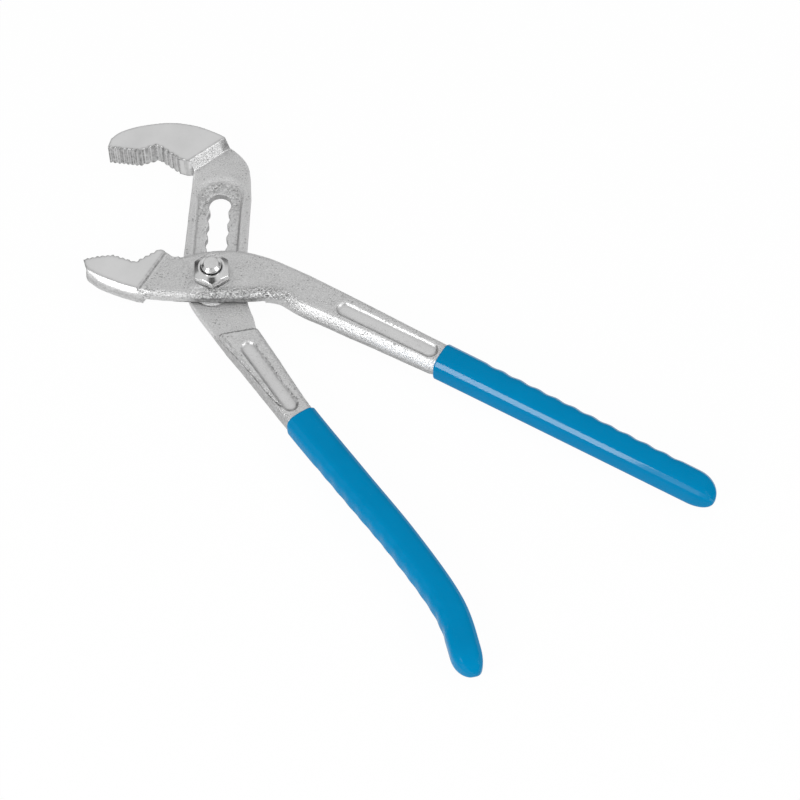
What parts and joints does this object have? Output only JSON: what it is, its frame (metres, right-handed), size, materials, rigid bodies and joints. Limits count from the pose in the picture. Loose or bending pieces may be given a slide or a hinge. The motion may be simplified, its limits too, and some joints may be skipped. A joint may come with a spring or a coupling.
{
  "type": "water pump pliers",
  "caption": "Slip-joint water pump pliers: lapped forged levers on a bolt that steps along a scalloped slot, with toothed pipe jaws and blue dipped grips.",
  "frame": {"origin": "on the pivot bolt's axis at the underside of its head, with the bolt in the slot's lowest place", "axes": "+Z along the pivot bolt towards the nut, +Y along the slot towards the slotted lever's jaw, -X towards the jaw tips"},
  "size_m": [0.2336, 0.2305, 0.0173],
  "materials": {
    "forged_steel": "satin",
    "bright_steel": "polished",
    "zinc_steel": "satin",
    "blue_vinyl": "gloss"
  },
  "bodies": {
    "slotted_side": {"slotted_lever": "forged_steel", "lower_grip": "blue_vinyl"},
    "slot_rider": {"friction_washer": "zinc_steel"},
    "front_side": {"front_lever": "forged_steel", "upper_grip": "blue_vinyl", "pivot_bolt": "bright_steel", "hex_nut": "bright_steel"}
  },
  "joints": [
    {"name": "slot_adjust", "type": "slide", "parent": "slotted_side", "child": "slot_rider", "axis": [0, 1, 0], "range_m": [0, 0.036]},
    {"name": "lever_pivot", "type": "hinge", "parent": "slot_rider", "child": "front_side", "pos_m": [0, 0, 0], "axis": [0, 0, 1], "range_deg": [-18.5, 20]}
  ]
}
